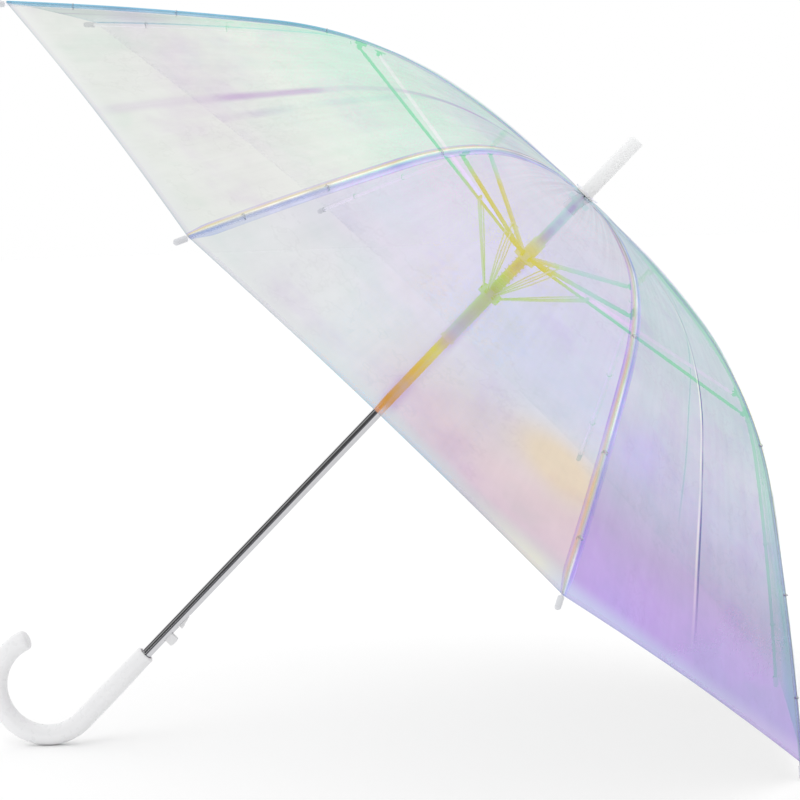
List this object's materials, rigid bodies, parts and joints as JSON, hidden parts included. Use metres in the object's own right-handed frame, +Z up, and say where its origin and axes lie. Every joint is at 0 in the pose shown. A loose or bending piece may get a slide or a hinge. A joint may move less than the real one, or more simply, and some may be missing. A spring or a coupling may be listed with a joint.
{
  "type": "stick umbrella",
  "caption": "Stick umbrella with a clear pearly film canopy on steel ribs, a crook handle and a push button that lets a spring open it.",
  "frame": {"origin": "middle of the straight hand grip, on the shaft's axis", "axes": "+Z runs up the shaft to the ferrule, the crook opens towards -X, and the push button is on +X"},
  "size_m": [0.9896, 0.9896, 0.837],
  "materials": {
    "white_plastic": "moulded white plastic, satin gloss",
    "polished_steel": "polished plated steel tube",
    "button_plastic": "moulded white plastic",
    "catch_plastic": "moulded pale plastic",
    "hub_plastic": "moulded pale plastic",
    "pin_steel": "drawn steel pin",
    "spring_steel": "coiled spring wire",
    "rib_steel": "rolled and plated steel channel",
    "wire_steel": "plated steel wire",
    "film": "clear soft plastic film with a pastel pearly sheen"
  },
  "bodies": {
    "root": {"handle": "white_plastic", "shaft": "polished_steel", "ferrule": "white_plastic", "notch": "hub_plastic", "notch_pins": "pin_steel"},
    "rib_1": {"rib_1": "rib_steel", "rib_clip_1": "rib_steel", "tip_cap_1": "white_plastic", "canopy_1": "film"},
    "rib_2": {"rib_2": "rib_steel", "rib_clip_2": "rib_steel", "tip_cap_2": "white_plastic", "canopy_2": "film"},
    "rib_3": {"rib_3": "rib_steel", "rib_clip_3": "rib_steel", "tip_cap_3": "white_plastic", "canopy_3": "film"},
    "rib_4": {"rib_4": "rib_steel", "rib_clip_4": "rib_steel", "tip_cap_4": "white_plastic", "canopy_4": "film"},
    "rib_5": {"rib_5": "rib_steel", "rib_clip_5": "rib_steel", "tip_cap_5": "white_plastic", "canopy_5": "film"},
    "rib_6": {"rib_6": "rib_steel", "rib_clip_6": "rib_steel", "tip_cap_6": "white_plastic", "canopy_6": "film"},
    "rib_7": {"rib_7": "rib_steel", "rib_clip_7": "rib_steel", "tip_cap_7": "white_plastic", "canopy_7": "film"},
    "rib_8": {"rib_8": "rib_steel", "rib_clip_8": "rib_steel", "tip_cap_8": "white_plastic", "canopy_8": "film"},
    "stretcher_1": {"stretcher_1": "rib_steel"},
    "stretcher_2": {"stretcher_2": "rib_steel"},
    "stretcher_3": {"stretcher_3": "rib_steel"},
    "stretcher_4": {"stretcher_4": "rib_steel"},
    "stretcher_5": {"stretcher_5": "rib_steel"},
    "stretcher_6": {"stretcher_6": "rib_steel"},
    "stretcher_7": {"stretcher_7": "rib_steel"},
    "stretcher_8": {"stretcher_8": "rib_steel"},
    "upper_collar": {"upper_collar": "hub_plastic", "collar_pins": "pin_steel"},
    "runner": {"runner": "hub_plastic", "runner_pins": "pin_steel", "main_spring": "spring_steel"},
    "strut_1": {"strut_1": "wire_steel"},
    "strut_2": {"strut_2": "wire_steel"},
    "strut_3": {"strut_3": "wire_steel"},
    "strut_4": {"strut_4": "wire_steel"},
    "strut_5": {"strut_5": "wire_steel"},
    "strut_6": {"strut_6": "wire_steel"},
    "strut_7": {"strut_7": "wire_steel"},
    "strut_8": {"strut_8": "wire_steel"},
    "push_button": {"push_button": "button_plastic"},
    "catch": {"catch": "catch_plastic"}
  },
  "joints": [
    {"name": "fold", "type": "hinge", "parent": "root", "child": "rib_1", "pos_m": [0.00831, 0.00344, 0.656], "axis": [-0.3827, 0.9239, 0], "range_deg": [0, 65], "stiffness_Nm_per_rad": 2.5, "springref_deg": -68.75, "deforming": ["canopy_1"]},
    {"name": "rib_2_hinge", "type": "hinge", "parent": "root", "child": "rib_2", "pos_m": [0.00344, 0.00831, 0.656], "axis": [-0.9239, 0.3827, 0], "range_deg": [0, 65], "deforming": ["canopy_2"]},
    {"name": "rib_3_hinge", "type": "hinge", "parent": "root", "child": "rib_3", "pos_m": [-0.00344, 0.00831, 0.656], "axis": [-0.9239, -0.3827, 0], "range_deg": [0, 65], "deforming": ["canopy_3"]},
    {"name": "rib_4_hinge", "type": "hinge", "parent": "root", "child": "rib_4", "pos_m": [-0.00831, 0.00344, 0.656], "axis": [-0.3827, -0.9239, 0], "range_deg": [0, 65], "deforming": ["canopy_4"]},
    {"name": "rib_5_hinge", "type": "hinge", "parent": "root", "child": "rib_5", "pos_m": [-0.00831, -0.00344, 0.656], "axis": [0.3827, -0.9239, 0], "range_deg": [0, 65], "deforming": ["canopy_5"]},
    {"name": "rib_6_hinge", "type": "hinge", "parent": "root", "child": "rib_6", "pos_m": [-0.00344, -0.00831, 0.656], "axis": [0.9239, -0.3827, 0], "range_deg": [0, 65], "deforming": ["canopy_6"]},
    {"name": "rib_7_hinge", "type": "hinge", "parent": "root", "child": "rib_7", "pos_m": [0.00344, -0.00831, 0.656], "axis": [0.9239, 0.3827, 0], "range_deg": [0, 65], "deforming": ["canopy_7"]},
    {"name": "rib_8_hinge", "type": "hinge", "parent": "root", "child": "rib_8", "pos_m": [0.00831, -0.00344, 0.656], "axis": [0.3827, 0.9239, 0], "range_deg": [0, 65], "deforming": ["canopy_8"]},
    {"name": "stretcher_1_joint", "type": "hinge", "parent": "rib_1", "child": "stretcher_1", "pos_m": [0.24132, 0.09996, 0.61831], "axis": [-0.3827, 0.9239, 0], "range_deg": [-130, 0]},
    {"name": "stretcher_2_joint", "type": "hinge", "parent": "rib_2", "child": "stretcher_2", "pos_m": [0.09996, 0.24132, 0.61831], "axis": [-0.9239, 0.3827, 0], "range_deg": [-130, 0]},
    {"name": "stretcher_3_joint", "type": "hinge", "parent": "rib_3", "child": "stretcher_3", "pos_m": [-0.09996, 0.24132, 0.61831], "axis": [-0.9239, -0.3827, 0], "range_deg": [-130, 0]},
    {"name": "stretcher_4_joint", "type": "hinge", "parent": "rib_4", "child": "stretcher_4", "pos_m": [-0.24132, 0.09996, 0.61831], "axis": [-0.3827, -0.9239, 0], "range_deg": [-130, 0]},
    {"name": "stretcher_5_joint", "type": "hinge", "parent": "rib_5", "child": "stretcher_5", "pos_m": [-0.24132, -0.09996, 0.61831], "axis": [0.3827, -0.9239, 0], "range_deg": [-130, 0]},
    {"name": "stretcher_6_joint", "type": "hinge", "parent": "rib_6", "child": "stretcher_6", "pos_m": [-0.09996, -0.24132, 0.61831], "axis": [0.9239, -0.3827, 0], "range_deg": [-130, 0]},
    {"name": "stretcher_7_joint", "type": "hinge", "parent": "rib_7", "child": "stretcher_7", "pos_m": [0.09996, -0.24132, 0.61831], "axis": [0.9239, 0.3827, 0], "range_deg": [-130, 0]},
    {"name": "stretcher_8_joint", "type": "hinge", "parent": "rib_8", "child": "stretcher_8", "pos_m": [0.24132, -0.09996, 0.61831], "axis": [0.3827, 0.9239, 0], "range_deg": [-130, 0]},
    {"name": "collar_hinge", "type": "hinge", "parent": "stretcher_1", "child": "upper_collar", "pos_m": [0.00831, 0.00344, 0.58062], "axis": [-0.3827, 0.9239, 0], "range_deg": [0, 65]},
    {"name": "runner_slide", "type": "slide", "parent": "upper_collar", "child": "runner", "axis": [0, 0, 1], "range_m": [0, 0.02665], "deforming": ["main_spring"]},
    {"name": "strut_1_hinge", "type": "hinge", "parent": "runner", "child": "strut_1", "pos_m": [0.00831, 0.00344, 0.53162], "axis": [-0.3827, 0.9239, 0], "range_deg": [-35.97, 0]},
    {"name": "strut_2_hinge", "type": "hinge", "parent": "runner", "child": "strut_2", "pos_m": [0.00344, 0.00831, 0.53162], "axis": [-0.9239, 0.3827, 0], "range_deg": [-35.97, 0]},
    {"name": "strut_3_hinge", "type": "hinge", "parent": "runner", "child": "strut_3", "pos_m": [-0.00344, 0.00831, 0.53162], "axis": [-0.9239, -0.3827, 0], "range_deg": [-35.97, 0]},
    {"name": "strut_4_hinge", "type": "hinge", "parent": "runner", "child": "strut_4", "pos_m": [-0.00831, 0.00344, 0.53162], "axis": [-0.3827, -0.9239, 0], "range_deg": [-35.97, 0]},
    {"name": "strut_5_hinge", "type": "hinge", "parent": "runner", "child": "strut_5", "pos_m": [-0.00831, -0.00344, 0.53162], "axis": [0.3827, -0.9239, 0], "range_deg": [-35.97, 0]},
    {"name": "strut_6_hinge", "type": "hinge", "parent": "runner", "child": "strut_6", "pos_m": [-0.00344, -0.00831, 0.53162], "axis": [0.9239, -0.3827, 0], "range_deg": [-35.97, 0]},
    {"name": "strut_7_hinge", "type": "hinge", "parent": "runner", "child": "strut_7", "pos_m": [0.00344, -0.00831, 0.53162], "axis": [0.9239, 0.3827, 0], "range_deg": [-35.97, 0]},
    {"name": "strut_8_hinge", "type": "hinge", "parent": "runner", "child": "strut_8", "pos_m": [0.00831, -0.00344, 0.53162], "axis": [0.3827, 0.9239, 0], "range_deg": [-35.97, 0]},
    {"name": "press", "type": "slide", "parent": "root", "child": "push_button", "axis": [-1, 0, 0], "range_m": [0, 0.0018], "stiffness_N_per_m": 1500, "springref_m": -0.001},
    {"name": "catch_hinge", "type": "hinge", "parent": "root", "child": "catch", "pos_m": [0.0024, 0, 0.055], "axis": [0, -1, 0], "range_deg": [0, 6.42]}
  ],
  "couplings": [
    {"joint": "rib_2_hinge", "follows": "fold", "ratio": 1},
    {"joint": "rib_3_hinge", "follows": "fold", "ratio": 1},
    {"joint": "rib_4_hinge", "follows": "fold", "ratio": 1},
    {"joint": "rib_5_hinge", "follows": "fold", "ratio": 1},
    {"joint": "rib_6_hinge", "follows": "fold", "ratio": 1},
    {"joint": "rib_7_hinge", "follows": "fold", "ratio": 1},
    {"joint": "rib_8_hinge", "follows": "fold", "ratio": 1},
    {"joint": "stretcher_1_joint", "follows": "fold", "ratio": -2},
    {"joint": "stretcher_2_joint", "follows": "fold", "ratio": -2},
    {"joint": "stretcher_3_joint", "follows": "fold", "ratio": -2},
    {"joint": "stretcher_4_joint", "follows": "fold", "ratio": -2},
    {"joint": "stretcher_5_joint", "follows": "fold", "ratio": -2},
    {"joint": "stretcher_6_joint", "follows": "fold", "ratio": -2},
    {"joint": "stretcher_7_joint", "follows": "fold", "ratio": -2},
    {"joint": "stretcher_8_joint", "follows": "fold", "ratio": -2},
    {"joint": "collar_hinge", "follows": "fold", "ratio": 1},
    {"joint": "runner_slide", "follows": "fold", "m_per_rad": 0.023489},
    {"joint": "strut_1_hinge", "follows": "fold", "ratio": -0.55341},
    {"joint": "strut_2_hinge", "follows": "fold", "ratio": -0.55341},
    {"joint": "strut_3_hinge", "follows": "fold", "ratio": -0.55341},
    {"joint": "strut_4_hinge", "follows": "fold", "ratio": -0.55341},
    {"joint": "strut_5_hinge", "follows": "fold", "ratio": -0.55341},
    {"joint": "strut_6_hinge", "follows": "fold", "ratio": -0.55341},
    {"joint": "strut_7_hinge", "follows": "fold", "ratio": -0.55341},
    {"joint": "strut_8_hinge", "follows": "fold", "ratio": -0.55341},
    {"joint": "catch_hinge", "follows": "press", "rad_per_m": 62.238}
  ]
}
